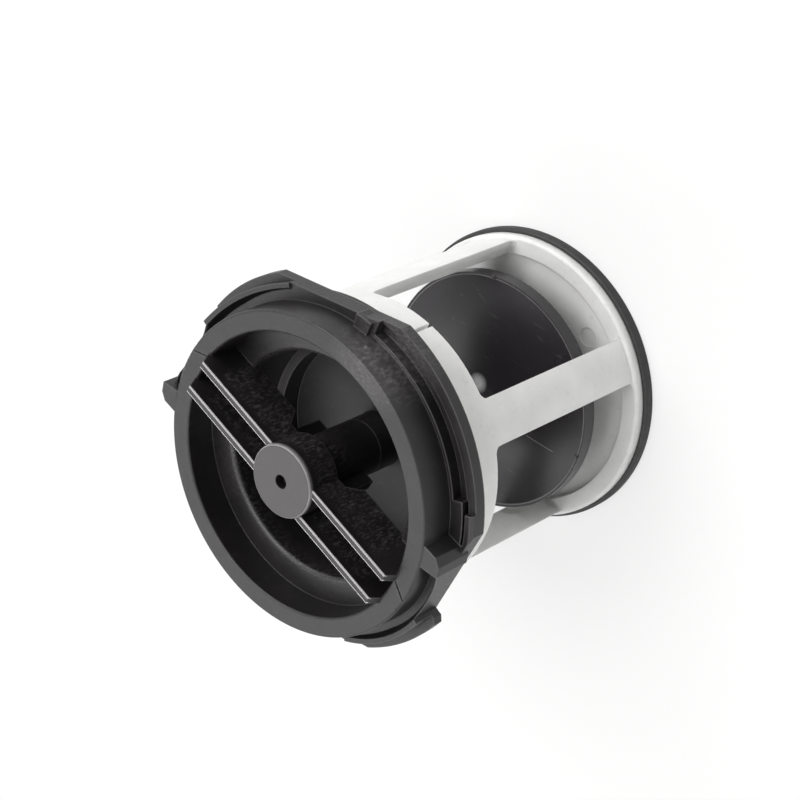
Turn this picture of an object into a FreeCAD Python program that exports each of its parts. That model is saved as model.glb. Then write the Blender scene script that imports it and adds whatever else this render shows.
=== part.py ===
import FreeCAD, Part
import math
import os
import Sketcher

# Washer pump filter: a bayonet cap with a grip bar, a clip-on cage, a baffle dome and two rubber seals.
# Millimetres. The filter stands on its rear seal, with the axis along +Z and the grip bar on top.

# Driving dimensions
SIZES = {
    # rear end
    "seal_thick": 2.2,
    "seal_width": 4.3,
    "seal_edge_round": 0.5,
    "spigot_inset": 2.8,
    "spigot_wall": 2.0,
    "spigot_drop": 1.5,
    "seal_bore_gap": 0.1,
    # cage
    "cage_outer_r": 26.8,
    "cage_wall": 2.7,
    "rim_lip": 0.7,
    "rim_thick": 1.9,
    "rim_round": 0.6,
    "floor_step": 1.2,
    "floor_thick": 1.1,
    "window_height": 39.5,
    "wide_window_left": 0.578,
    "wide_window_right": 0.679,
    "slim_window_left": 0.448,
    "slim_window_right": 0.597,
    "window_round": 1.2,
    "band_height": 8.9,
    "band_chamfer": 0.5,
    "band_slit": 0.7,
    "slit_turn": 87.0,
    "pin_mark_r": 1.75,
    "pin_mark_inset": 5.1,
    "pin_mark_turn": 60.0,
    "pin_mark_depth": 0.25,
    # clip between cap and cage
    "turn_gap": 0.3,
    "bead_height": 0.8,
    "bead_half": 1.0,
    "bead_below_top": 4.6,
    "cap_lift": 0.4,
    # dome
    "dome_gap": 1.4,
    "dome_rim_thick": 2.7,
    "dome_rim_land": 0.7,
    "dome_rim_drop": 0.2,
    "dome_rise": 3.4,
    "dome_stand": 7.6,
    "dome_wall": 2.2,
    "dome_neck_r": 9.0,
    "snap_r": 4.0,
    "snap_gap": 0.15,
    "snap_barb": 0.5,
    "snap_tip": 1.0,
    # cap ring and recess
    "ring_lip": 2.2,
    "ring_wall": 3.7,
    "ring_height": 9.7,
    "edge_round": 0.45,
    "ledge_depth": 6.0,
    "ledge_round": 0.9,
    "bore_wall": 1.7,
    "bore_depth": 16.7,
    "well_step": 1.7,
    "well_depth": 20.8,
    "well_dish": 1.2,
    "cup_floor": 1.7,
    "cup_step": 1.9,
    "collar_drop": 8.4,
    "neck_lip": 0.2,
    "neck_drop": 2.7,
    # cap seal
    "cap_seal_width": 2.9,
    "cap_seal_thick": 2.4,
    "cap_seal_gap": 0.1,
    "cap_seal_round": 0.6,
    # grip
    "hub_r": 6.6,
    "hub_proud": 2.95,
    "hub_back": 4.0,
    "hub_hole_r": 1.25,
    "hub_hole_depth": 2.0,
    "stem_r": 5.1,
    "bar_half_width": 3.9,
    "bar_wall": 1.5,
    "bar_web": 1.5,
    "bar_edge": 0.35,
    "bar_proud": 2.5,
    "bar_back": 7.0,
    "bar_seat": 0.4,
    "bar_slope": 1.2,
    "bar_turn": 1.8,
    "relief_reach": 10.2,
    "relief_slope": 1.9,
    "gusset_thick": 2.0,
    "gusset_reach": 7.4,
    "gusset_drop": 5.8,
    "cap_turn": -12.0,
    # bayonet flange
    "flange_width": 4.6,
    "flange_thick": 3.2,
    "flange_bevel": 0.6,
    "flat_cut": 3.0,
    "flat_turn": 118.0,
    "groove_ledge": 0.6,
    "groove_width": 2.7,
    "groove_depth": 2.2,
    "groove_from": 39.5,
    "groove_to": 100.0,
    "rim_step": 1.0,
    "rim_step_from": 35.7,
    "slot_offset": 2.5,
    "slot_width": 0.5,
    "slot_depth": 2.0,
    "slot_from": 25.5,
    "tooth_width": 2.4,
    "tooth_height": 0.9,
    "tooth_from": 101.5,
    "tooth_to": 107.5,
    "ramp_width": 3.1,
    "ramp_top": 2.2,
    "ramp_end": 0.5,
    "ramp_from": -44.0,
    "ramp_to": 20.0,
    "ramp_lip": 0.9,
    "gutter_slope": 0.8,
    "gutter_depth": 1.8,
    "lug_step": 1.2,
    "lug_from": -46.0,
    "lug_corner": 0.9,
    "lug_corner_turn": 3.0,
    "notch_cut": 2.9,
    "notch_turn": 5.0,
    "notch_stop": -5.7,
    "notch_open": 32.0,
    "hook_height": 3.5,
    "hook_shoulder": 2.6,
    "hook_top": 0.3,
    "hook_from": 19.0,
    "hook_tip": 22.5,
    "hook_slope": 25.2,
    "hook_to": 27.6,
    # marks on the ring's face
    "mark_inset": 0.6,
    "mark_reach": 3.0,
    "mark_turn": 7.0,
    "mark_other_turn": 5.0,
    "mark_slant": 4.0,
    "mark_width": 0.45,
    "mark_depth": 0.25,
}

doc = FreeCAD.newDocument("washer_pump_filter")
sheet = doc.addObject("Spreadsheet::Sheet", "Sizes")
for row, (alias, size) in enumerate(SIZES.items(), start=1):
    sheet.set(f"A{row}", alias)
    sheet.set(f"B{row}", str(size))
    sheet.setAlias(f"B{row}", alias)
doc.recompute()


def bound(text):
    """The expression with every size name pointed at its cell in the sheet."""
    words = []
    word = ""
    for mark in text + " ":
        if mark.isalnum() or mark == "_":
            word += mark
            continue
        words.append(f"Sizes.{word}" if word in SIZES else word)
        words.append(mark)
        word = ""
    return "".join(words).strip()


def value(text):
    """The number that an expression of sizes has now."""
    result = sheet.evalExpression(bound(text))
    return float(getattr(result, "Value", result))


# Radii, all led from the cage's outside
CAGE_INNER_R = "(cage_outer_r - cage_wall)"
RIM_R = "(cage_outer_r + rim_lip)"
SPIGOT_R = "(cage_outer_r - spigot_inset)"
SEAL_BORE_R = f"({SPIGOT_R} + seal_bore_gap)"
SEAL_R = f"({SPIGOT_R} + seal_width)"
DOME_R = f"({CAGE_INNER_R} - dome_gap)"
COLLAR_R = f"({CAGE_INNER_R} - turn_gap)"
CUP_R = f"({COLLAR_R} - cup_step)"
BORE_R = f"({CUP_R} - bore_wall)"
WELL_R = f"({BORE_R} - well_step)"
NECK_R = "(cage_outer_r + neck_lip)"
CAP_SEAL_BORE_R = f"({NECK_R} + cap_seal_gap)"
CAP_SEAL_R = f"({NECK_R} + cap_seal_width)"
RING_R = "(cage_outer_r + ring_lip)"
RING_INNER_R = f"({RING_R} - ring_wall)"
RAMP_R = f"({RING_R} + ramp_width)"
FLANGE_R = f"({RING_R} + flange_width)"

# Heights above the surface that the filter stands on
RIM_REAR = "seal_thick"
RIM_FRONT = "(seal_thick + rim_thick)"
FLOOR_FRONT = f"({RIM_FRONT} - floor_step)"
FLOOR_REAR = f"({FLOOR_FRONT} - floor_thick)"
BAND_REAR = f"({RIM_FRONT} + window_height)"
BAND_FRONT = f"({BAND_REAR} + band_height)"
BEAD = f"({BAND_FRONT} - bead_below_top)"
NECK_REAR = f"({BAND_FRONT} + cap_lift)"
FLANGE_REAR = f"({NECK_REAR} + neck_drop)"
FLANGE_FRONT = f"({FLANGE_REAR} + flange_thick)"
RING_FRONT = f"({FLANGE_REAR} + ring_height)"
BAR_BACK = f"({RING_FRONT} - bar_back)"
HUB_BACK = f"({RING_FRONT} - hub_back)"
COLLAR_REAR = f"({NECK_REAR} - collar_drop)"
WELL_EDGE = f"({RING_FRONT} - well_depth)"
WELL_MIDDLE = f"({WELL_EDGE} - well_dish)"
CUP_REAR = f"({WELL_MIDDLE} - cup_floor)"
DOME_REAR = f"({FLOOR_FRONT} + dome_stand)"
DOME_EDGE = f"({DOME_REAR} + dome_rim_thick)"


def polar(radius, turn):
    """A point at a radius and an angle in degrees."""
    return f"({radius}) * cos({turn})", f"({radius}) * sin({turn})"


def origin_feature(body, role):
    """One of the body's own origin planes or axes."""
    return next(item for item in body.Origin.OriginFeatures if item.Role == role)


def new_body(label):
    body = doc.addObject("PartDesign::Body", label)
    body.Label = label
    return body


def new_sketch(body, name, plane, lift=None, spin=None):
    """A sketch on an origin plane, lifted along its normal and turned about the Z axis."""
    sketch = body.newObject("Sketcher::SketchObject", name)
    sketch.AttachmentSupport = [(origin_feature(body, plane), "")]
    sketch.MapMode = "FlatFace"
    if spin:
        sketch.AttachmentOffset = FreeCAD.Placement(
            FreeCAD.Vector(), FreeCAD.Rotation(FreeCAD.Vector(0, 1, 0), value(spin)))
        sketch.setExpression("AttachmentOffset.Rotation.Angle", f"({bound(spin)}) * 1 deg")
    if lift:
        sketch.setExpression("AttachmentOffset.Base.z", f"({bound(lift)}) * 1 mm")
    return sketch


def set_size(sketch, constraint, text):
    index = sketch.addConstraint(constraint)
    sketch.setExpression(f"Constraints[{index}]", bound(text))


def edge_between(start, end, radius):
    """A straight edge, or an arc that turns left for a plus radius and right for a minus one."""
    if not radius:
        return Part.LineSegment(start, end), (1, 2)
    chord = end - start
    middle = (start + end) * 0.5
    side = FreeCAD.Vector(-chord.y, chord.x, 0).normalize()
    height = math.sqrt(max(radius * radius - chord.Length ** 2 / 4, 0))
    centre = middle + side * (height if radius > 0 else -height)
    circle = Part.Circle(centre, FreeCAD.Vector(0, 0, 1), abs(radius))
    first, last = (start, end) if radius > 0 else (end, start)
    angles = [math.atan2(point.y - centre.y, point.x - centre.x) for point in (first, last)]
    if angles[1] < angles[0]:
        angles[1] += 2 * math.pi
    return Part.ArcOfCircle(circle, *angles), ((1, 2) if radius > 0 else (2, 1))


def draw_profile(sketch, points):
    """A closed outline. Each point is (x, y) or (x, y, radius of the arc to the next point)."""
    spots = [FreeCAD.Vector(value(point[0]), value(point[1]), 0) for point in points]
    ends = []
    for index, point in enumerate(points):
        radius = value(point[2]) if len(point) > 2 else 0
        following = spots[(index + 1) % len(spots)]
        edge, ends_of_edge = edge_between(spots[index], following, radius)
        sketch.addGeometry(edge)
        ends.append(ends_of_edge)
    for index, point in enumerate(points):
        after = (index + 1) % len(points)
        sketch.addConstraint(
            Sketcher.Constraint("Coincident", index, ends[index][1], after, ends[after][0]))
        start = ends[index][0]
        for kind, axis, text, now in (("DistanceX", -2, point[0], spots[index].x),
                                      ("DistanceY", -1, point[1], spots[index].y)):
            if abs(now) < 1e-9:
                sketch.addConstraint(Sketcher.Constraint("PointOnObject", index, start, axis))
            else:
                set_size(sketch, Sketcher.Constraint(kind, -1, 1, index, start, now), text)
        if len(point) > 2:
            set_size(sketch, Sketcher.Constraint("Radius", index, abs(value(point[2]))), f"abs({point[2]})")
    return sketch


def draw_circle(sketch, radius, centre=("0", "0")):
    """A circle about the axis, or about a point."""
    spot = FreeCAD.Vector(value(centre[0]), value(centre[1]), 0)
    index = sketch.addGeometry(Part.Circle(spot, FreeCAD.Vector(0, 0, 1), value(radius)))
    if spot.Length < 1e-9:
        sketch.addConstraint(Sketcher.Constraint("Coincident", index, 3, -1, 1))
    else:
        set_size(sketch, Sketcher.Constraint("DistanceX", -1, 1, index, 3, spot.x), centre[0])
        set_size(sketch, Sketcher.Constraint("DistanceY", -1, 1, index, 3, spot.y), centre[1])
    set_size(sketch, Sketcher.Constraint("Radius", index, value(radius)), radius)
    return sketch


def sector_points(inner, outer, start, end):
    """A slice of a ring between two angles."""
    return [(*polar(outer, start), outer), polar(outer, end),
            (*polar(inner, end), f"-({inner})"), polar(inner, start)]


def revolve(body, name, points, kind="PartDesign::Revolution"):
    """A turned form or cut, from a half section of radius and height."""
    sketch = draw_profile(new_sketch(body, f"{name}_section", "XZ_Plane"), points)
    feature = body.newObject(kind, name)
    feature.Profile = sketch
    feature.ReferenceAxis = (sketch, ["V_Axis"])
    feature.Angle = 360
    doc.recompute()
    return feature


def extrude(body, name, sketch, length, kind="PartDesign::Pad", midplane=False):
    """A pad up from the sketch, or a pocket down from it. It has to change the volume."""
    before = body.Shape.Volume
    feature = body.newObject(kind, name)
    feature.Profile = sketch
    feature.setExpression("Length", f"({bound(length)}) * 1 mm")
    if midplane:
        feature.SideType = "Symmetric"
    doc.recompute()
    if abs(body.Shape.Volume - before) < 1e-3:
        raise RuntimeError(f"{name} changes nothing")
    return feature


def repeat(body, name, features, count, angle=360):
    """The features set round the Z axis."""
    pattern = body.newObject("PartDesign::PolarPattern", name)
    pattern.Originals = features
    pattern.Axis = (origin_feature(body, "Z_Axis"), [""])
    pattern.Angle = angle
    pattern.Occurrences = count
    body.Tip = pattern
    doc.recompute()
    return pattern


# Cage: a moulded tube with a clip band, four posts, a rim and a floor, cored by four side slides
def make_cage():
    body = new_body("filter_cage")
    groove_r = f"({CAGE_INNER_R} + bead_height)"
    groove_half = "(bead_half + turn_gap)"
    revolve(body, "tube", [
        ("snap_r + snap_gap", FLOOR_REAR),
        (f"{SPIGOT_R} - spigot_wall", FLOOR_REAR),
        (f"{SPIGOT_R} - spigot_wall", f"{RIM_REAR} - spigot_drop"),
        (SPIGOT_R, f"{RIM_REAR} - spigot_drop"),
        (SPIGOT_R, RIM_REAR),
        (RIM_R, RIM_REAR),
        (RIM_R, f"{RIM_FRONT} - rim_round", "rim_round"),
        (f"{RIM_R} - rim_round", RIM_FRONT),
        ("cage_outer_r", RIM_FRONT),
        ("cage_outer_r", f"{BAND_FRONT} - band_chamfer"),
        ("cage_outer_r - band_chamfer", BAND_FRONT),
        (CAGE_INNER_R, BAND_FRONT),
        (CAGE_INNER_R, f"{BEAD} + {groove_half}"),
        (groove_r, BEAD),
        (CAGE_INNER_R, f"{BEAD} - {groove_half}"),
        (CAGE_INNER_R, FLOOR_FRONT),
        ("snap_r + snap_gap", FLOOR_FRONT),
    ])
    # Windows: four slides cut them, a wide pair and a slim pair, each set off the middle
    low = RIM_FRONT
    high = BAND_REAR
    for name, plane in (("wide_window", "YZ_Plane"), ("slim_window", "XZ_Plane")):
        left = f"({name}_left * cage_outer_r)"
        right = f"({name}_right * cage_outer_r)"
        window = draw_profile(new_sketch(body, f"{name}_outline", plane), [
            (f"-{left} + window_round", low), (f"{right} - window_round", low, "window_round"),
            (right, f"{low} + window_round"), (right, f"{high} - window_round", "window_round"),
            (f"{right} - window_round", high), (f"-{left} + window_round", high, "window_round"),
            (f"-{left}", f"{high} - window_round"), (f"-{left}", f"{low} + window_round", "window_round"),
        ])
        cut = extrude(body, name, window, "1.5 * cage_outer_r", "PartDesign::Pocket")
        repeat(body, f"{name}s", [cut], 2)
    # Slit that lets the clip band spring over the bead
    slit = draw_profile(new_sketch(body, "slit_outline", "XY_Plane", BAND_FRONT), [
        (f"({reach}) * cos(slit_turn) - ({half}) * sin(slit_turn)",
         f"({reach}) * sin(slit_turn) + ({half}) * cos(slit_turn)")
        for reach, half in ((f"{CAGE_INNER_R} - 1.5 * turn_gap", "-band_slit / 2"),
                            ("1.2 * cage_outer_r", "-band_slit / 2"),
                            ("1.2 * cage_outer_r", "band_slit / 2"),
                            (f"{CAGE_INNER_R} - 1.5 * turn_gap", "band_slit / 2"))])
    extrude(body, "slit", slit, "band_height + window_round", "PartDesign::Pocket")
    # Round marks of the ejector pins on the floor
    mark = draw_circle(new_sketch(body, "pin_mark_outline", "XY_Plane", FLOOR_FRONT), "pin_mark_r",
                       polar(f"{CAGE_INNER_R} - pin_mark_inset", "pin_mark_turn"))
    marks = extrude(body, "pin_mark", mark, "pin_mark_depth", "PartDesign::Pocket")
    repeat(body, "pin_marks", [marks], 4)
    return body


# Dome: a shallow glossy cap on a neck, snapped through the middle of the cage's floor
def make_dome():
    body = new_body("baffle_dome")
    land_r = f"({DOME_R} - dome_rim_land)"
    land = f"({DOME_EDGE} - dome_rim_drop)"
    climb = "(dome_rise + dome_rim_drop)"
    crown_r = f"(({land_r}^2 + {climb}^2) / (2 * {climb}))"
    skin = f"({DOME_R} - dome_wall)"
    revolve(body, "dome_form", [
        ("0", f"{RIM_REAR} - snap_tip"),
        ("snap_r - snap_barb", f"{RIM_REAR} - snap_tip"),
        ("snap_r + snap_barb", f"{FLOOR_REAR} - snap_gap"),
        ("snap_r", f"{FLOOR_REAR} - snap_gap"),
        ("snap_r", FLOOR_FRONT),
        ("dome_neck_r", FLOOR_FRONT),
        ("dome_neck_r", f"{DOME_EDGE} + dome_rise / 2 - dome_wall"),
        (skin, f"{DOME_EDGE} - dome_wall"),
        (skin, DOME_REAR),
        (DOME_R, DOME_REAR),
        (DOME_R, DOME_EDGE),
        (land_r, land, crown_r),
        ("0", f"{DOME_EDGE} + dome_rise"),
    ])
    return body


def make_rear_seal():
    body = new_body("rear_seal")
    revolve(body, "seal_ring", [
        (SEAL_BORE_R, "0"),
        (f"{SEAL_R} - seal_edge_round", "0", "seal_edge_round"),
        (SEAL_R, "seal_edge_round"),
        (SEAL_R, "seal_thick - seal_edge_round", "seal_edge_round"),
        (f"{SEAL_R} - seal_edge_round", "seal_thick"),
        (SEAL_BORE_R, "seal_thick"),
    ])
    return body


def make_cap_seal():
    body = new_body("cap_seal")
    low = f"({FLANGE_REAR} - cap_seal_thick)"
    revolve(body, "cap_seal_ring", [
        (CAP_SEAL_BORE_R, low),
        (f"{CAP_SEAL_R} - cap_seal_round", low, "cap_seal_round"),
        (CAP_SEAL_R, f"{low} + cap_seal_round"),
        (CAP_SEAL_R, FLANGE_REAR),
        (CAP_SEAL_BORE_R, FLANGE_REAR),
    ])
    body.setExpression("Placement.Rotation.Angle", "Sizes.cap_turn * 1 deg")
    return body


# Cap: one moulding, drawn with its grip bar along X and then turned on the cage
def cap_form(body):
    """The ring, the stepped recess, the stem with its hub, and the collar that the cage clips on."""
    edge = "edge_round"
    bead_r = f"({COLLAR_R} + bead_height)"
    hub_front = f"({RING_FRONT} + hub_proud)"
    revolve(body, "turned_form", [
        ("0", CUP_REAR),
        (CUP_R, CUP_REAR),
        (CUP_R, COLLAR_REAR),
        (COLLAR_R, COLLAR_REAR),
        (COLLAR_R, f"{BEAD} - bead_half"),
        (bead_r, BEAD),
        (COLLAR_R, f"{BEAD} + bead_half"),
        (COLLAR_R, NECK_REAR),
        (NECK_R, NECK_REAR),
        (NECK_R, FLANGE_REAR),
        (RING_R, FLANGE_REAR),
        (RING_R, f"{RING_FRONT} - {edge}", edge),
        (f"{RING_R} - {edge}", RING_FRONT),
        (f"{RING_INNER_R} + {edge}", RING_FRONT, edge),
        (RING_INNER_R, f"{RING_FRONT} - {edge}"),
        (RING_INNER_R, f"{RING_FRONT} - ledge_depth"),
        (f"{BORE_R} + ledge_round", f"{RING_FRONT} - ledge_depth", "ledge_round"),
        (BORE_R, f"{RING_FRONT} - ledge_depth - ledge_round"),
        (BORE_R, f"{RING_FRONT} - bore_depth"),
        (WELL_R, f"{RING_FRONT} - bore_depth"),
        (WELL_R, WELL_EDGE),
        ("stem_r", WELL_MIDDLE),
        ("stem_r", HUB_BACK),
        ("hub_r", HUB_BACK),
        ("hub_r", f"{hub_front} - {edge}", edge),
        (f"hub_r - {edge}", hub_front),
        ("hub_hole_r", hub_front),
        ("hub_hole_r", f"{hub_front} - hub_hole_depth"),
        ("0", f"{hub_front} - hub_hole_depth"),
    ])


def cap_bar(body):
    """The grip bar, a channel open to the front, relieved round the stem, with gussets on the stem."""
    front = f"({RING_FRONT} + bar_proud)"
    web = f"({BAR_BACK} + bar_web)"
    inside = "(bar_half_width - bar_wall)"
    edge = "bar_edge"
    section = draw_profile(new_sketch(body, "bar_section", "YZ_Plane", spin="bar_turn"), [
        ("-bar_half_width", BAR_BACK),
        ("bar_half_width", BAR_BACK),
        ("bar_half_width", f"{front} - {edge}", edge),
        (f"bar_half_width - {edge}", front),
        (f"{inside} + {edge}", front, edge),
        (inside, f"{front} - {edge}"),
        (inside, web),
        (f"-{inside}", web),
        (f"-{inside}", f"{front} - {edge}", edge),
        (f"-{inside} - {edge}", front),
        (f"{edge} - bar_half_width", front, edge),
        ("-bar_half_width", f"{front} - {edge}"),
    ])
    end = f"({RING_INNER_R} + bar_seat)"
    extrude(body, "grip_bar", section, f"2 * {end}", midplane=True)
    # The web rises towards the hub, and a cone under it clears the stem
    block = "(relief_reach + bar_web)"
    rise = draw_profile(new_sketch(body, "web_rise_outline", "XZ_Plane", spin="bar_turn"), [
        (f"-{block}", BAR_BACK), (block, BAR_BACK),
        (f"{block} - relief_slope", f"{HUB_BACK} + bar_web"),
        (f"relief_slope - {block}", f"{HUB_BACK} + bar_web")])
    extrude(body, "web_rise", rise, "2 * bar_half_width - bar_wall", midplane=True)
    revolve(body, "relief", [
        ("stem_r", BAR_BACK), ("relief_reach", BAR_BACK),
        ("relief_reach - relief_slope", HUB_BACK), ("stem_r", HUB_BACK)], "PartDesign::Groove")
    gusset = draw_profile(new_sketch(body, "gusset_outline", "XZ_Plane", spin="bar_turn"), [
        ("-gusset_reach", f"{BAR_BACK} - gusset_drop"),
        ("gusset_reach", f"{BAR_BACK} - gusset_drop"),
        ("gusset_reach", f"{HUB_BACK} + edge_round"),
        ("-gusset_reach", f"{HUB_BACK} + edge_round"),
    ])
    extrude(body, "gussets", gusset, "gusset_thick", midplane=True)
    # The walls slope down to the ring at both ends
    for name, side in (("bar_end_one", "1"), ("bar_end_other", "-1")):
        outline = draw_profile(new_sketch(body, f"{name}_outline", "XZ_Plane", spin="bar_turn"), [
            (f"{side} * ({end} - bar_slope)", front), (f"{side} * {RING_R}", front),
            (f"{side} * {RING_R}", RING_FRONT), (f"{side} * {end}", RING_FRONT)])
        extrude(body, name, outline, "3 * bar_half_width", "PartDesign::Pocket", midplane=True)


def cap_flange(body):
    """The flange behind the ring, before its flats, notches and grooves are cut."""
    bevel = "flange_bevel"
    revolve(body, "flange", [
        (NECK_R, FLANGE_REAR),
        (FLANGE_R, FLANGE_REAR),
        (FLANGE_R, f"{FLANGE_FRONT} - {bevel}"),
        (f"{FLANGE_R} - {bevel}", FLANGE_FRONT),
        (NECK_R, FLANGE_FRONT),
    ])


def cap_bayonet(body):
    """Half of the bayonet, repeated across the axis."""
    clear = f"(1.5 * {FLANGE_R})"
    root = f"({RING_R} - edge_round)"
    cut = "PartDesign::Pocket"
    features = []
    # Flat that lets the flange pass the housing
    reach = f"({FLANGE_R} - flat_cut)"
    across = f"(0.6 * {FLANGE_R})"
    flat = draw_profile(new_sketch(body, "flat_outline", "XY_Plane", FLANGE_FRONT), [
        (f"{radius} * cos(flat_turn) - ({half}) * sin(flat_turn)",
         f"{radius} * sin(flat_turn) + ({half}) * cos(flat_turn)")
        for radius, half in ((reach, f"-{across}"), (clear, f"-{across}"),
                             (clear, across), (reach, across))])
    features.append(extrude(body, "flat", flat, "flange_thick", cut))
    # Groove that cores out the flange, the lower rim beside it, a narrow slot and the lug beside the ramp
    groove_r = f"({RING_R} + groove_width)"
    slot_r = f"({RING_R} + slot_offset)"
    for name, depth, inner, outer, start, end in (
            ("groove", "groove_depth", f"({RING_R} + groove_ledge)", groove_r, "groove_from", "groove_to"),
            ("rim_drop", "rim_step", groove_r, clear, "rim_step_from", "groove_to"),
            ("slot", "slot_depth", slot_r, f"({slot_r} + slot_width)", "slot_from", "groove_from"),
            ("lug_drop", "lug_step", RAMP_R, clear, "lug_from", "notch_stop")):
        outline = draw_profile(new_sketch(body, f"{name}_outline", "XY_Plane", FLANGE_FRONT),
                               sector_points(inner, outer, start, end))
        features.append(extrude(body, name, outline, depth, cut))
    # Tooth at the end of the groove
    tooth_foot = f"{FLANGE_FRONT} - groove_depth"
    tooth = draw_profile(new_sketch(body, "tooth_outline", "XY_Plane", tooth_foot),
                         sector_points(root, f"({RING_R} + tooth_width)", "tooth_from", "tooth_to"))
    features.append(extrude(body, "tooth", tooth, "tooth_height + groove_depth"))
    # Ramp that draws the cap home, and the notch with a stop face that limits its turn
    features.append(cap_ramp(body))
    reach = f"({FLANGE_R} - notch_cut)"
    stop_r = f"({reach} / cos(notch_turn - notch_stop))"
    open_r = f"({reach} / cos(notch_open - notch_turn))"
    notch = draw_profile(new_sketch(body, "notch_outline", "XY_Plane", RING_FRONT), [
        polar(stop_r, "notch_stop"), polar(f"({FLANGE_R} - lug_corner)", "notch_stop"),
        polar(f"({FLANGE_R} + lug_corner)", "(notch_stop - lug_corner_turn)"),
        polar(clear, "notch_turn"), polar(clear, "notch_open"), polar(open_r, "notch_open")])
    features.append(extrude(body, "notch", notch, "ring_height", cut))
    # Hook that catches behind the housing's rib
    hook_foot = f"({FLANGE_FRONT} - flange_thick / 2)"
    hook = draw_profile(new_sketch(body, "hook_outline", "XY_Plane", hook_foot), [
        polar(root, "hook_from"), polar(f"({RING_R} + hook_height)", "hook_from"),
        polar(f"({RING_R} + hook_height)", "hook_tip"),
        polar(f"({RING_R} + hook_shoulder)", "hook_slope"), polar(root, "hook_to")])
    features.append(extrude(body, "hook", hook, f"{RING_FRONT} - hook_top - {hook_foot}"))
    repeat(body, "bayonet", features, 2)


def cap_ramp(body):
    """A ramp with a gutter beside the ring, climbing round it, lofted through radial sections."""
    stations = 6
    sections = []
    root = f"({RING_R} - 2 * edge_round)"
    low = f"({FLANGE_REAR} + flange_thick / 2)"
    for station in range(stations):
        share = station / (stations - 1)
        turn = f"(ramp_from + (ramp_to - ramp_from) * {share})"
        climb = f"((ring_height - flange_thick - ramp_top - ramp_end) * {share})"
        top = f"({FLANGE_FRONT} + ramp_end + {climb})"
        sketch = new_sketch(body, f"ramp_section_{station + 1}", "XZ_Plane", spin=turn)
        sections.append(draw_profile(sketch, [
            (root, low), (RAMP_R, low), (RAMP_R, top), (f"({RAMP_R} - ramp_lip)", top),
            (f"({RAMP_R} - ramp_lip - gutter_slope)", f"({top} - gutter_depth)"),
            (root, f"({top} - gutter_depth)")]))
    doc.recompute()
    ramp = body.newObject("PartDesign::AdditiveLoft", "ramp")
    ramp.Profile = sections[0]
    ramp.Sections = sections[1:]
    ramp.Ruled = False
    doc.recompute()
    return ramp


def cap_marks(body):
    """A thin slanting line across the ring's face at each end of the grip bar."""
    inner = f"({RING_INNER_R} + mark_inset)"
    outer = f"({inner} + mark_reach)"
    half = "(mark_width / 2)"
    for name, side, start in (("mark_one", "1", "mark_turn"), ("mark_other", "-1", "mark_other_turn")):
        ends = []
        for radius, turn in ((inner, start), (outer, f"({start} - mark_slant)")):
            x, y = polar(radius, turn)
            ends.append((f"{side} * {x}", y))
        (x0, y0), (x1, y1) = ends
        corners = [(x0, f"{y0} - {half}"), (x1, f"{y1} - {half}"),
                   (x1, f"{y1} + {half}"), (x0, f"{y0} + {half}")]
        outline = draw_profile(new_sketch(body, f"{name}_outline", "XY_Plane", RING_FRONT), corners)
        extrude(body, name, outline, "mark_depth", "PartDesign::Pocket")


def make_cap():
    body = new_body("cap")
    cap_form(body)
    cap_flange(body)
    cap_bayonet(body)
    cap_bar(body)
    cap_marks(body)
    body.setExpression("Placement.Rotation.Angle", "Sizes.cap_turn * 1 deg")
    return body


bodies = [make_cage(), make_dome(), make_rear_seal(), make_cap(), make_cap_seal()]
doc.recompute()

# Everything is sound before anything is written
for item in doc.Objects:
    if {"Invalid", "Error"} & set(item.State):
        raise RuntimeError(f"{item.Label} failed: {item.State}")
for body in bodies:
    if body.Shape.isNull() or not body.Shape.isValid() or len(body.Shape.Solids) != 1:
        raise RuntimeError(f"{body.Label} is not one sound solid")

os.makedirs("parts", exist_ok=True)
for body in bodies:
    body.Shape.exportStep(f"parts/{body.Label}.step")
    box = body.Shape.BoundBox
    print(f"{body.Label}: {body.Shape.Volume:.1f} mm3, x {box.XMin:.2f} {box.XMax:.2f}, "
          f"y {box.YMin:.2f} {box.YMax:.2f}, z {box.ZMin:.2f} {box.ZMax:.2f}")
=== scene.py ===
# %% [markdown]
# # Dressing a washer pump filter
# The filter sits in the drain pump of a washing machine and catches what the wash leaves behind. A black cap with
# a grip bar locks it into the pump, and a white cage behind the cap holds back coins and buttons.
# The solids already have their true shape and size, so this lesson gives them their finishes, adds the small marks
# that moulding leaves, and lights and frames them as a product photograph does.

# %% Load the solids
import math

import bpy
from mathutils import Matrix, Vector


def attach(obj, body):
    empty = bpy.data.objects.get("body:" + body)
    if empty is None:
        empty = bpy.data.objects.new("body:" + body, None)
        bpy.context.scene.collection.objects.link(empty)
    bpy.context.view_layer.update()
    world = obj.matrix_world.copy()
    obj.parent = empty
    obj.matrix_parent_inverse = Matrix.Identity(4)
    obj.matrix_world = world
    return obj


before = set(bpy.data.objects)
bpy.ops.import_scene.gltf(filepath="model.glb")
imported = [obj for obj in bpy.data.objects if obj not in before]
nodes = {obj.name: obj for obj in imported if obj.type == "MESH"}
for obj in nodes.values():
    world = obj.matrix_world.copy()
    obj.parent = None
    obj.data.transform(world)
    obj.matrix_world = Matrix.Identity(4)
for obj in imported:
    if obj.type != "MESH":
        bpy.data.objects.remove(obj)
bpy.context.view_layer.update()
MM = 0.001
print("solids:", ", ".join(sorted(nodes)))

# %% [markdown]
# ## Camera
# A camera can be aimed by hand until the picture looks right. Here the round edges of the filter were matched to
# ellipses in the picture, which gives the camera's direction, roll and distance as plain numbers. The long lens
# keeps the rear of the filter almost as large as the front.

# %% Camera directions
VIEW_AZIMUTH = math.radians(54.86)
VIEW_ELEVATION = math.radians(44.78)
VIEW_ROLL = math.radians(113.28)

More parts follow.
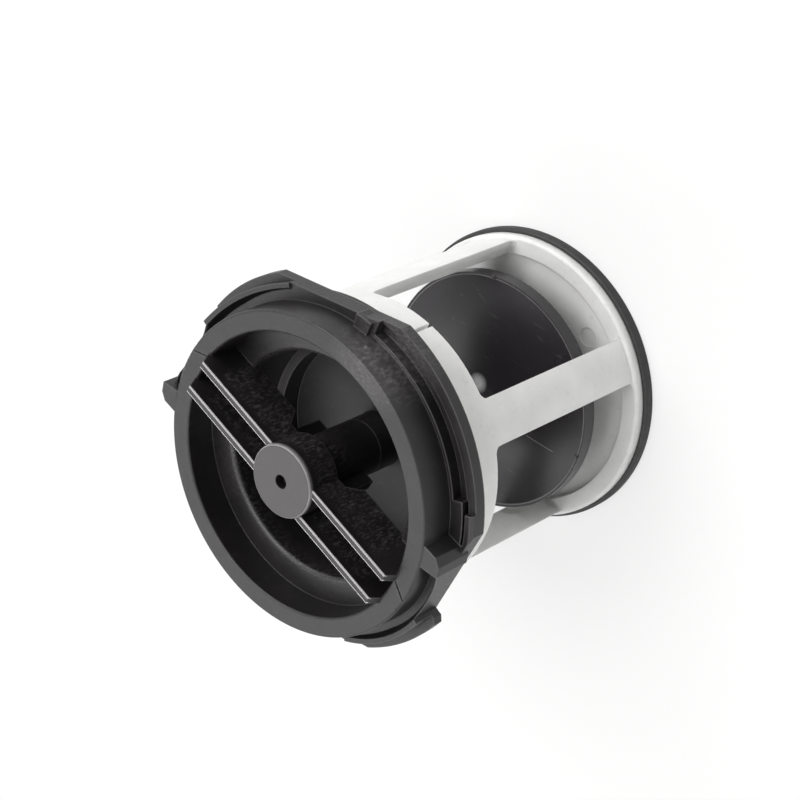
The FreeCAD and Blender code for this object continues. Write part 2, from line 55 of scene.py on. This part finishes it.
view_back = Vector((math.cos(VIEW_ELEVATION) * math.cos(VIEW_AZIMUTH),
                    math.cos(VIEW_ELEVATION) * math.sin(VIEW_AZIMUTH),
                    math.sin(VIEW_ELEVATION)))
upright = (Vector((0, 0, 1)) - view_back * view_back.z).normalized()
sideways = upright.cross(view_back)
view_up = upright * math.cos(VIEW_ROLL) + sideways * math.sin(VIEW_ROLL)
view_right = view_up.cross(view_back)
print("the camera looks back along", [round(value, 3) for value in view_back])

# %% Camera
LENS_MM = 99.0
SENSOR_MM = 36.0
CLIP_START = 10 * MM
VIEW_TARGET = Vector((-3.85, 2.71, 34.77)) * MM
VIEW_DISTANCE = 391.9 * MM

camera_data = bpy.data.cameras.new("camera")
camera_data.lens = LENS_MM
camera_data.sensor_width = SENSOR_MM
camera_data.clip_start = CLIP_START
camera = bpy.data.objects.new("camera", camera_data)
bpy.context.scene.collection.objects.link(camera)
turn = Matrix((view_right, view_up, view_back)).transposed().to_4x4()
camera.matrix_world = Matrix.Translation(VIEW_TARGET + view_back * VIEW_DISTANCE) @ turn
bpy.context.scene.camera = camera
print("camera at", [round(value / MM, 1) for value in camera.matrix_world.translation], "mm")

# %% [markdown]
# ## Colours and nodes
# Colours are written as sRGB hex values, as a paint chart gives them, and shaders want linear light, so one
# function converts them. A second one adds a node with its settings and links, which keeps each finish short.
# Object coordinates are in metres here, so a pattern's scale comes from the size of its features in millimetres.

# %% Colour and node helpers
def linear(hex_colour):
    """An sRGB hex colour as linear red, green, blue and alpha."""
    channels = [int(hex_colour[place:place + 2], 16) / 255 for place in (1, 3, 5)]
    light = [value / 12.92 if value <= 0.04045 else ((value + 0.055) / 1.055) ** 2.4 for value in channels]
    return (*light, 1.0)


def grey(level):
    """A grey of this linear level, for the stops of a ramp."""
    return (level, level, level, 1.0)


def add_node(tree, kind, inputs=None, stops=None, **settings):
    """A node with its settings. An input is a value, or another node's output to link from."""
    node = tree.nodes.new(kind)
    for name, value in settings.items():
        setattr(node, name, value)
    for index, (spot, colour) in enumerate(stops or ()):
        points = node.color_ramp.elements
        point = points[index] if index < len(points) else points.new(spot)
        point.position = spot
        point.color = colour
    for name, value in (inputs or {}).items():
        if isinstance(value, bpy.types.NodeSocket):
            tree.links.new(value, node.inputs[name])
        else:
            node.inputs[name].default_value = value
    return node


print("half way up the sRGB scale, the light is", round(linear("#808080")[0], 3))

# %% Finish helpers
def per_metre(size_mm):
    """The texture scale that gives features of about this size."""
    return 1.0 / (size_mm * MM)


def new_finish(name):
    """An empty node material and its tree."""
    finish = bpy.data.materials.new(name)
    finish.use_nodes = True
    finish.node_tree.nodes.clear()
    return finish, finish.node_tree


def end_finish(finish, shader):
    """Send this shader to the material's output, and count the nodes that the finish took."""
    add_node(finish.node_tree, "ShaderNodeOutputMaterial", {"Surface": shader})
    print(finish.name, "is made of", len(finish.node_tree.nodes), "nodes")


def put_on(finish, *names):
    """Give these solids this finish and no other."""
    for name in names:
        slots = nodes[name].data.materials
        slots.clear()
        slots.append(finish)
        print(name, "has", finish.name)


print("features of 5 mm need a scale of", round(per_metre(5)))

# %% [markdown]
# ## Cap: black polypropylene
# The cap is moulded in black polypropylene with a little filler. The mould was spark eroded, so the surface is
# satin with a fine grain, and handling has left pale scuffs. A plain dark colour would look like ink, so slow noise
# mottles the black, and stretched noise draws scuffs that lighten it.

# %% Cap: black and scuffs
MOTTLE_MM = 5.0
SCUFF_MM = 2.2
SCUFF_STRETCH = (1.0, 2.5, 0.6)
SCUFF_TURN = (0.4, 0.2, 0.7)

cap_finish, tree = new_finish("black_polypropylene")
place = add_node(tree, "ShaderNodeTexCoord").outputs["Object"]
mottle = add_node(tree, "ShaderNodeTexNoise", {"Vector": place, "Scale": per_metre(MOTTLE_MM), "Detail": 4.0})
black = add_node(tree, "ShaderNodeValToRGB", {"Fac": mottle.outputs["Fac"]},
                 stops=((0.35, linear("#141213")), (0.7, linear("#1d1a1b"))))
stretched = add_node(tree, "ShaderNodeMapping", {"Vector": place, "Scale": SCUFF_STRETCH,
                                                 "Rotation": SCUFF_TURN}).outputs["Vector"]
scuff = add_node(tree, "ShaderNodeTexNoise", {"Vector": stretched, "Scale": per_metre(SCUFF_MM),
                                              "Detail": 8.0, "Roughness": 0.7})
scuffed = add_node(tree, "ShaderNodeValToRGB", {"Fac": scuff.outputs["Fac"]},
                   stops=((0.60, grey(0.0)), (0.78, grey(1.0)))).outputs["Color"]
dusty = add_node(tree, "ShaderNodeMix", {"Factor": scuffed, "A": black.outputs["Color"], "B": linear("#3a3737")},
                 data_type="RGBA").outputs["Result"]
print("cap so far:", len(tree.nodes), "nodes")

# %% [markdown]
# ## Cap: where it is worn, and where sheen is painted
# Black plastic turns grey where it is rubbed. Wear could be painted on an image, but an image needs unwrapping and
# blurs close up. So each mark is placed by measure: by its height, its distance from the axis and its distance across
# the bar. A mark is a strength that is kept to narrow lines and fades out at its limits, and where marks overlap the
# strongest one shows.
# Hands have rubbed one side of the ring's wall, and the lighter patch there also carries painted glints and a painted
# sheen. Finger nails have left fine streaks down the sides of the bar, and a pale band on the step in the recess is a
# painted sheen. Rays sent into the plastic come out again soon only beside an outer edge, so an Ambient Occlusion node
# set to Inside finds the edges that rub.

# %% Helpers for marks
def axis_distance(tree, place):
    """The distance from the turning axis."""
    flat = add_node(tree, "ShaderNodeVectorMath", {0: place, 1: (1.0, 1.0, 0.0)}, operation="MULTIPLY")
    return add_node(tree, "ShaderNodeVectorMath", {0: flat.outputs["Vector"]}, operation="LENGTH").outputs["Value"]


def mark(tree, *strengths, lines=(), limits=()):
    """The strengths multiplied, kept to lines (measure, middle, half width) and limits (measure, none at, full at)."""
    factors = list(strengths)
    for measure, middle_mm, half_mm in lines:
        factors.append(add_node(tree, "ShaderNodeMath", {0: measure, 1: middle_mm * MM, 2: half_mm * MM},
                                operation="COMPARE").outputs["Value"])
    for measure, none_mm, full_mm in limits:
        factors.append(add_node(tree, "ShaderNodeMapRange", {"Value": measure, "From Min": none_mm * MM,
                                                             "From Max": full_mm * MM}).outputs["Result"])
    result = factors[0]
    for factor in factors[1:]:
        result = add_node(tree, "ShaderNodeMath", {0: result, 1: factor}, operation="MULTIPLY").outputs["Value"]
    return result


def strongest(tree, marks):
    """At each place, the strongest of these marks."""
    result = marks[0]
    for other in marks[1:]:
        result = add_node(tree, "ShaderNodeMath", {0: result, 1: other}, operation="MAXIMUM").outputs["Value"]
    return result


height = add_node(tree, "ShaderNodeSeparateXYZ", {"Vector": place}).outputs["Z"]
radius = axis_distance(tree, place)
print("cap with its measures:", len(tree.nodes), "nodes")

# %% Cap: rubbed side of the ring, with painted glints
RUBBED_GLINT_PLACE = Vector((6.0, 28.4, 60.5)) * MM
RUBBED_GLINT_OUTER_MM, RUBBED_GLINT_INNER_MM = 10.0, 3.0
GLINT_MM = 0.7

away = add_node(tree, "ShaderNodeVectorMath", {0: place, 1: RUBBED_GLINT_PLACE}, operation="DISTANCE").outputs["Value"]
# A lighter patch on one side of the ring's wall: partly wear, partly a painted sheen with painted glints
rubbed_and_glinting_side = mark(tree, limits=[(away, RUBBED_GLINT_OUTER_MM, RUBBED_GLINT_INNER_MM)])
glint = add_node(tree, "ShaderNodeTexNoise", {"Vector": stretched, "Scale": per_metre(GLINT_MM),
                                              "Detail": 4.0}).outputs["Fac"]
dull_glints = add_node(tree, "ShaderNodeValToRGB", {"Fac": glint},
                       stops=((0.42, grey(0.2)), (0.80, grey(0.9)))).outputs["Color"]
bright_glints = add_node(tree, "ShaderNodeValToRGB", {"Fac": glint},
                         stops=((0.45, grey(0.0)), (0.70, grey(0.7)))).outputs["Color"]
# The dull glints grey the patch and the bright glints bare it: both are painted highlights laid over the wear
greyed_and_sheen = [mark(tree, rubbed_and_glinting_side, dull_glints)]
bared_and_highlights = [mark(tree, rubbed_and_glinting_side, scuffed, bright_glints)]
print("the rubbed side reaches", RUBBED_GLINT_OUTER_MM, "mm from its middle")

# %% Cap: streaks, edges, step and hub
STREAK_MM = 0.3
STREAK_STRETCH = (1.0, 1.0, 0.3)
STREAK_LOW_MM, STREAK_LOW_FADE_MM = 55.0, 4.0
STREAK_HIGH_MM, STREAK_HIGH_FADE_MM = 66.6, 0.8
STREAK_RADIUS_MM, STREAK_RADIUS_FADE_MM = 22.0, 1.5
EDGE_REACH_MM = 0.26
EDGE_OPEN, EDGE_SHUT = 0.96, 0.74
EDGE_WEAR = 0.35
STEP_MM, STEP_HALF_MM = 48.6, 0.1
STEP_PAINTED_SHEEN = 0.8
HUB_FACE_LOW_MM, HUB_FACE_HIGH_MM = 68.05, 68.15
HUB_WEAR = 0.3

# Streaks run down the sides of the bar, so their noise is drawn out along the axis
drawn = add_node(tree, "ShaderNodeMapping", {"Vector": place, "Scale": STREAK_STRETCH}).outputs["Vector"]
streak = add_node(tree, "ShaderNodeTexNoise", {"Vector": drawn, "Scale": per_metre(STREAK_MM), "Detail": 3.0})
streaked = add_node(tree, "ShaderNodeValToRGB", {"Fac": streak.outputs["Fac"]},
                    stops=((0.48, grey(0.0)), (0.76, grey(0.55)))).outputs["Color"]
greyed_and_sheen.append(mark(tree, streaked, limits=[
    (height, STREAK_LOW_MM, STREAK_LOW_MM + STREAK_LOW_FADE_MM),
    (height, STREAK_HIGH_MM, STREAK_HIGH_MM - STREAK_HIGH_FADE_MM),
    (radius, STREAK_RADIUS_MM, STREAK_RADIUS_MM - STREAK_RADIUS_FADE_MM)]))
inside = add_node(tree, "ShaderNodeAmbientOcclusion", {"Distance": EDGE_REACH_MM * MM}, inside=True,
                  only_local=True, samples=8)
outer_edges = add_node(tree, "ShaderNodeMapRange", {"Value": inside.outputs["AO"], "From Min": EDGE_OPEN,
                                                    "From Max": EDGE_SHUT}).outputs["Result"]
greyed_and_sheen.append(mark(tree, outer_edges, EDGE_WEAR))
# A pale band on the step in the recess: a painted sheen where this front face catches the light
greyed_and_sheen.append(mark(tree, STEP_PAINTED_SHEEN, lines=[(height, STEP_MM, STEP_HALF_MM)]))
greyed_and_sheen.append(mark(tree, HUB_WEAR, limits=[(height, HUB_FACE_LOW_MM, HUB_FACE_HIGH_MM)]))
print("greyed by", len(greyed_and_sheen), "marks")

# %% [markdown]
# ## Cap: edges of the bar and the hub
# The bar and the hub stand proud of the ring, so fingers and table tops have rubbed their edges pale, and these
# near-white lines also stand in for painted highlights on the rounded edges. An Ambient Occlusion node would mark the
# whole tip of such a thin wall, so these lines are placed by measure. In coordinates turned in line with the bar, the
# rounded edges of its two walls lie at fixed places across it.

# %% Cap: edges of the bar and the hub, worn and with painted highlights
BAR_TURN = math.radians(-10.2)
BAR_TOP_MM, BAR_TOP_FADE_MM = 67.2, 0.2
# Where each edge lies across the bar, and how pale its line is: on each wall, the edge that faces the light has the
# stronger line, a painted highlight over the wear
BAR_EDGES = ((3.73, 0.5), (2.57, 1.0), (-2.57, 0.5), (-3.73, 1.0))
EDGE_LINE_HALF_MM = 0.15
HUB_MM, HUB_FADE_MM = 6.6, 0.3
HUB_RIM_MM, HUB_RIM_HIGHLIGHT, HUB_RIM_FADE_MM = 6.5, 0.3, 0.6

in_line = add_node(tree, "ShaderNodeMapping", {"Vector": place, "Rotation": (0.0, 0.0, -BAR_TURN)})
across_bar = add_node(tree, "ShaderNodeSeparateXYZ", {"Vector": in_line.outputs["Vector"]}).outputs["Y"]
# A pale line round the hub's rim: a painted highlight along its rounded edge, over some wear
bared_and_highlights.append(mark(tree, HUB_RIM_HIGHLIGHT, lines=[(radius, HUB_RIM_MM, EDGE_LINE_HALF_MM)],
                  limits=[(height, BAR_TOP_MM, BAR_TOP_MM + HUB_RIM_FADE_MM)]))
for edge_mm, wear_and_highlight in BAR_EDGES:
    bared_and_highlights.append(mark(tree, wear_and_highlight, lines=[(across_bar, edge_mm, EDGE_LINE_HALF_MM)],
                      limits=[(height, BAR_TOP_MM, BAR_TOP_MM + BAR_TOP_FADE_MM),
                              (radius, HUB_MM, HUB_MM + HUB_FADE_MM)]))
print("bared by", len(bared_and_highlights), "marks")

# %% [markdown]
# ## Cap: shader
# The grain drives a bump and the roughness, which gives the satin sheen of a spark-eroded mould. A Bevel node rounds
# the normals at the sharp edges of the solids, so that the edges catch the light as moulded ones do.

# %% Cap: shader
# Real grain is finer than a tenth of a millimetre, and is drawn coarser so that it shows
GRAIN_MM = 0.35
GRAIN_DEPTH_MM = 0.05
EDGE_ROUND_MM = 0.28

# The grey colour shows scuffs, streaks and worn edges, and also the painted sheen of the ring's patch and of the step
worn_and_sheen = add_node(tree, "ShaderNodeMix", {"Factor": strongest(tree, greyed_and_sheen), "A": dusty, "B": linear("#6b6868")},
                data_type="RGBA").outputs["Result"]
# The near-white colour shows bared wear, and also the painted glints and the painted highlights along the edges of the
# bar and the hub
colour = add_node(tree, "ShaderNodeMix", {"Factor": strongest(tree, bared_and_highlights), "A": worn_and_sheen, "B": linear("#e0dddd")},
                  data_type="RGBA")
grain = add_node(tree, "ShaderNodeTexNoise", {"Vector": place, "Scale": per_metre(GRAIN_MM),
                                              "Detail": 2.0}).outputs["Fac"]
rough = add_node(tree, "ShaderNodeMapRange", {"Value": grain, "From Min": 0.3, "From Max": 0.7,
                                              "To Min": 0.34, "To Max": 0.46})
edge = add_node(tree, "ShaderNodeBevel", {"Radius": EDGE_ROUND_MM * MM}, samples=6)
bump = add_node(tree, "ShaderNodeBump", {"Height": grain, "Strength": 0.35, "Distance": GRAIN_DEPTH_MM * MM,
                                         "Normal": edge.outputs["Normal"]})
shader = add_node(tree, "ShaderNodeBsdfPrincipled", {
    "Base Color": colour.outputs["Result"], "Roughness": rough.outputs["Result"], "IOR": 1.49,
    "Specular IOR Level": 0.44, "Normal": bump.outputs["Normal"]})
end_finish(cap_finish, shader.outputs["BSDF"])
put_on(cap_finish, "cap")

# %% [markdown]
# ## Cage: white polypropylene
# The cage is unfilled white polypropylene from a polished mould. It is smooth, a little glossy and slightly
# translucent, so light bleeds through its thin posts. A plain white would look like paper, so slow noise smudges it,
# fine noise leaves grey specks, and some subsurface scattering softens its shadows.

# %% Cage finish
SMUDGE_MM = 7.0
SPECK_MM = 1.1
BLEED_MM = 1.8

cage_finish, tree = new_finish("white_polypropylene")
place = add_node(tree, "ShaderNodeTexCoord").outputs["Object"]
smudge = add_node(tree, "ShaderNodeTexNoise", {"Vector": place, "Scale": per_metre(SMUDGE_MM), "Detail": 5.0})
white = add_node(tree, "ShaderNodeValToRGB", {"Fac": smudge.outputs["Fac"]},
                 stops=((0.35, linear("#e6e6e4")), (0.65, linear("#efefee"))))
speck = add_node(tree, "ShaderNodeTexNoise", {"Vector": place, "Scale": per_metre(SPECK_MM), "Detail": 3.0})
specked = add_node(tree, "ShaderNodeValToRGB", {"Fac": speck.outputs["Fac"]},
                   stops=((0.60, grey(0.0)), (0.84, grey(0.8))))
colour = add_node(tree, "ShaderNodeMix", {"Factor": specked.outputs["Color"], "A": white.outputs["Color"],
                                          "B": linear("#d9d9d6")}, data_type="RGBA")
edge = add_node(tree, "ShaderNodeBevel", {"Radius": EDGE_ROUND_MM * MM}, samples=6)
shader = add_node(tree, "ShaderNodeBsdfPrincipled", {
    "Base Color": colour.outputs["Result"], "Roughness": 0.38, "IOR": 1.49,
    "Subsurface Weight": 0.45, "Subsurface Radius": (1.0, 1.0, 1.0), "Subsurface Scale": BLEED_MM * MM,
    "Normal": edge.outputs["Normal"]})
end_finish(cage_finish, shader.outputs["BSDF"])
put_on(cage_finish, "filter_cage")

# %% [markdown]
# ## Dome: black plastic from a polished mould
# The dome comes from a smoother mould than the cap, so it mirrors the cage softly. Clean gloss would look like glass,
# so faint wipe marks vary the roughness, and fine hairline scratches lie across it. A painted highlight lies as a pale
# spot around the mould's gate, a coin has left one longer scratch, and a painted highlight runs along the fold before
# the rim.

# %% Dome: marks
# Real hairlines are finer than a tenth of a millimetre, and are drawn coarser so that they show
HAIRLINE_MM = 0.45
HAIRLINE_STRETCH = (0.12, 1.0, 1.0)
HAIRLINE_TURN = (0.0, 0.0, 0.9)
GATE_PLACE = Vector((-0.4, 2.8, 16.54)) * MM
# A pale spot around the gate: a painted highlight, standing in for a lamp seen in the dome's crown
HIGHLIGHT_SPOT_OUTER_MM, HIGHLIGHT_SPOT_INNER_MM, HIGHLIGHT_SPOT_STRENGTH = 2.1, 0.735, 0.95
SCRATCH_Y_MM, SCRATCH_HALF_MM = -0.28, 0.09
SCRATCH_FROM_MM, SCRATCH_TO_MM, SCRATCH_FADE_MM = 11.9, 18.3, 0.8
SCRATCH_STRENGTH = 0.22
# A pale line along the fold before the rim: a painted highlight where the fold catches the light
FOLD_MM, FOLD_HALF_MM, FOLD_HIGHLIGHT = 22.2, 0.11, 0.2

dome_finish, tree = new_finish("polished_black_plastic")
place = add_node(tree, "ShaderNodeTexCoord").outputs["Object"]
drawn = add_node(tree, "ShaderNodeMapping", {"Vector": place, "Scale": HAIRLINE_STRETCH,
                                             "Rotation": HAIRLINE_TURN}).outputs["Vector"]
hair = add_node(tree, "ShaderNodeTexNoise", {"Vector": drawn, "Scale": per_metre(HAIRLINE_MM), "Detail": 1.0})
hairlines = add_node(tree, "ShaderNodeValToRGB", {"Fac": hair.outputs["Fac"]},
                     stops=((0.66, grey(0.0)), (0.86, grey(0.07)))).outputs["Color"]
away = add_node(tree, "ShaderNodeVectorMath", {0: place, 1: GATE_PLACE}, operation="DISTANCE").outputs["Value"]
painted_highlight_spot = mark(tree, HIGHLIGHT_SPOT_STRENGTH, limits=[(away, HIGHLIGHT_SPOT_OUTER_MM, HIGHLIGHT_SPOT_INNER_MM)])
across = add_node(tree, "ShaderNodeSeparateXYZ", {"Vector": place}).outputs
scratch = mark(tree, SCRATCH_STRENGTH, lines=[(across["Y"], SCRATCH_Y_MM, SCRATCH_HALF_MM)], limits=[
    (across["X"], SCRATCH_FROM_MM, SCRATCH_FROM_MM + SCRATCH_FADE_MM),
    (across["X"], SCRATCH_TO_MM, SCRATCH_TO_MM - SCRATCH_FADE_MM)])
fold_highlight = mark(tree, FOLD_HIGHLIGHT, lines=[(axis_distance(tree, place), FOLD_MM, FOLD_HALF_MM)])
marked = strongest(tree, [painted_highlight_spot, hairlines, scratch, fold_highlight])
print("scratch of", round(SCRATCH_TO_MM - SCRATCH_FROM_MM, 1), "mm on the dome")

# %% Dome: shader
WIPE_MM = 9.0

# The near-white colour shows the hairlines and the scratch, and the painted highlights of the spot and the fold
colour = add_node(tree, "ShaderNodeMix", {"Factor": marked, "A": linear("#2a272a"), "B": linear("#e4e2e3")},
                  data_type="RGBA")
wipe = add_node(tree, "ShaderNodeTexNoise", {"Vector": place, "Scale": per_metre(WIPE_MM), "Detail": 1.0})
rough = add_node(tree, "ShaderNodeMapRange", {"Value": wipe.outputs["Fac"], "To Min": 0.24, "To Max": 0.36})
shader = add_node(tree, "ShaderNodeBsdfPrincipled", {
    "Base Color": colour.outputs["Result"], "Roughness": rough.outputs["Result"], "IOR": 1.5,
    "Specular IOR Level": 0.38})
end_finish(dome_finish, shader.outputs["BSDF"])
put_on(dome_finish, "baffle_dome")

# %% [markdown]
# ## Seals: moulded rubber
# Rubber is matt because its surface is finely rough, and it takes a grey bloom of dust. A bump from fine noise makes
# it matt from every side, and coarser noise spreads the bloom in patches.

# %% Seal finish
BLOOM_MM = 1.6
# Real grain is finer, and is drawn coarser so that it shows
RUBBER_GRAIN_MM = 0.4
RUBBER_GRAIN_DEPTH_MM = 0.06

seal_finish, tree = new_finish("moulded_rubber")
place = add_node(tree, "ShaderNodeTexCoord").outputs["Object"]
bloom = add_node(tree, "ShaderNodeTexNoise", {"Vector": place, "Scale": per_metre(BLOOM_MM), "Detail": 6.0})
rubber = add_node(tree, "ShaderNodeValToRGB", {"Fac": bloom.outputs["Fac"]},
                  stops=((0.4, linear("#1c1b1b")), (0.75, linear("#2b2a2a"))))
grain = add_node(tree, "ShaderNodeTexNoise", {"Vector": place, "Scale": per_metre(RUBBER_GRAIN_MM)})
bump = add_node(tree, "ShaderNodeBump", {"Height": grain.outputs["Fac"], "Strength": 0.4,
                                         "Distance": RUBBER_GRAIN_DEPTH_MM * MM})
shader = add_node(tree, "ShaderNodeBsdfPrincipled", {
    "Base Color": rubber.outputs["Color"], "Roughness": 0.62, "IOR": 1.52, "Normal": bump.outputs["Normal"]})
end_finish(seal_finish, shader.outputs["BSDF"])
put_on(seal_finish, "cap_seal", "rear_seal")

# %% [markdown]
# ## Gate mark and flash
# Two traces of moulding are too small for the solids. The gate, where plastic entered the mould, leaves a low round
# pip with a dimple in it on the dome. A little flash leaves two nibs on the dome's rim. A bump in the finish would
# vanish at the outline, so each is modelled: a disc is extruded off the surface, drawn in at the top and rounded.

# %% Gate mark and flash
PIP_SIDES = 32
SUNK_MM = 0.08
ROUND_SHARE, ROUND_SEGMENTS = 0.3, 3
DIMPLE_INSET_SHARE = 0.3
SMOOTH_ANGLE = math.radians(50)


def moulded_pip(name, place, normal, radius_mm, height_mm, drawn_in, dimple_mm):
    """A pip that stands on the surface along this normal, with a dimple of this depth in its top."""
    normal = normal.normalized()
    bpy.ops.object.select_all(action="DESELECT")
    bpy.ops.mesh.primitive_circle_add(vertices=PIP_SIDES, radius=radius_mm * MM, fill_type="NGON",
                                      location=place - normal * SUNK_MM * MM,
                                      rotation=normal.to_track_quat("Z", "Y").to_euler())
    pip = bpy.context.object
    pip.name = name
    bpy.ops.object.mode_set(mode="EDIT")
    bpy.ops.mesh.select_all(action="SELECT")
    bpy.ops.mesh.extrude_region_move(TRANSFORM_OT_translate={"value": normal * (height_mm + SUNK_MM) * MM})
    bpy.ops.transform.resize(value=(drawn_in, drawn_in, drawn_in))
    bpy.ops.mesh.bevel(offset=ROUND_SHARE * height_mm * MM, segments=ROUND_SEGMENTS, affect="EDGES")
    if dimple_mm:
        bpy.ops.mesh.inset(thickness=DIMPLE_INSET_SHARE * radius_mm * MM)
        bpy.ops.transform.translate(value=normal * -dimple_mm * MM)
    bpy.ops.object.mode_set(mode="OBJECT")
    bpy.ops.object.transform_apply(location=True, rotation=True, scale=True)
    bpy.ops.object.shade_smooth_by_angle(angle=SMOOTH_ANGLE)
    pip.data.materials.append(dome_finish)
    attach(pip, "cage_body")
    print(name, "has", len(pip.data.polygons), "faces")


moulded_pip("gate_mark", GATE_PLACE, Vector((-0.006, 0.040, 0.999)),
            radius_mm=0.75, height_mm=0.18, drawn_in=0.85, dimple_mm=0.08)
moulded_pip("flash_nib_side", Vector((22.2, 1.4, 13.07)) * MM, Vector((-0.274, -0.020, 0.961)),
            radius_mm=0.40, height_mm=0.45, drawn_in=0.6, dimple_mm=0)
moulded_pip("flash_nib_top", Vector((-7.6, 21.2, 13.15)) * MM, Vector((0.094, -0.256, 0.962)),
            radius_mm=0.45, height_mm=0.50, drawn_in=0.6, dimple_mm=0)

# %% [markdown]
# ## Table and backdrop
# The filter stands on a white table before a white backdrop. Strong lamps could bleach both, but they would bleach
# the cage too. So Light Path picks out the rays that show the background itself and gives them white, while the light
# that falls on the filter stays low. The table keeps a share of its real shading, which holds the filter's shadow.

# %% Table
FLOOR_SIZE = 3.0
FLOOR_SHADE = 0.35
WHITE = linear("#ffffff")


def seen_directly(tree):
    """1 for the rays that show the background itself, in the picture, in a gloss or through glass."""
    path = add_node(tree, "ShaderNodeLightPath").outputs
    return strongest(tree, [path["Is Camera Ray"], path["Is Glossy Ray"], path["Is Transmission Ray"]])


bpy.ops.object.select_all(action="DESELECT")
bpy.ops.mesh.primitive_plane_add(size=FLOOR_SIZE)
floor = bpy.context.object
floor.name = "floor"

table_finish, tree = new_finish("white_table")
paint = add_node(tree, "ShaderNodeBsdfDiffuse", {"Color": linear("#f4f4f3")})
glow = add_node(tree, "ShaderNodeEmission", {"Color": WHITE, "Strength": 1.0})
share = mark(tree, seen_directly(tree), 1.0 - FLOOR_SHADE)
mix = add_node(tree, "ShaderNodeMixShader", {0: share, 1: paint.outputs["BSDF"], 2: glow.outputs["Emission"]})
end_finish(table_finish, mix.outputs["Shader"])
floor.data.materials.append(table_finish)

# %% Backdrop
WORLD_LIGHT = 0.06

world = bpy.data.worlds.new("studio")
world.use_nodes = True
tree = world.node_tree
level = add_node(tree, "ShaderNodeMapRange", {"Value": seen_directly(tree), "To Min": WORLD_LIGHT, "To Max": 1.0})
backdrop = tree.nodes["Background"]
backdrop.inputs["Color"].default_value = WHITE
tree.links.new(level.outputs["Result"], backdrop.inputs["Strength"])
bpy.context.scene.world = world
bpy.context.scene.view_settings.view_transform = "Standard"
print("the backdrop lights the filter at", WORLD_LIGHT)

# %% [markdown]
# ## Lamps
# A product photographer surrounds a small part with soft boxes. Six square lamps do that here, placed along the
# picture's own axes. The strongest stands in front, on the left, where it gives the black cap its grey sheen without
# glare. Those above are kept lower, because the white posts that face them would clip when seen from behind.

# %% Lamps
LAMP_TARGET = Vector((0, 0, 40 * MM))
LAMP_DISTANCE = 0.7
LAMP_SIZE = 0.5
# Name, direction to the picture's right, up and towards the camera, and watts
LAMPS = (
    ("left_lamp", (-0.92, -0.39, 0.05), 1.2),
    ("upper_left_lamp", (-0.60, 0.70, 0.40), 2.1),
    ("high_lamp", (-0.20, 0.90, 0.40), 0.6),
    ("front_left_lamp", (-0.60, 0.10, 0.80), 3.5),
    ("low_lamp", (-0.60, -0.70, 0.40), 1.3),
    ("near_low_lamp", (0.10, -0.85, 0.50), 1.4),
)

for name, (right, up, back), watts in LAMPS:
    direction = (view_right * right + view_up * up + view_back * back).normalized()
    lamp_data = bpy.data.lights.new(name, "AREA")
    lamp_data.size = LAMP_SIZE
    lamp_data.energy = watts
    lamp = bpy.data.objects.new(name, lamp_data)
    bpy.context.scene.collection.objects.link(lamp)
    lamp.location = LAMP_TARGET + direction * LAMP_DISTANCE
    lamp.rotation_mode = "QUATERNION"
    lamp.rotation_quaternion = direction.to_track_quat("Z", "Y")
    print(name, "gives", watts, "W")

# %% [markdown]
# ## Sizes
# Dressing a part must not change its size.

# %% Sizes
print("the solids keep their loaded size")
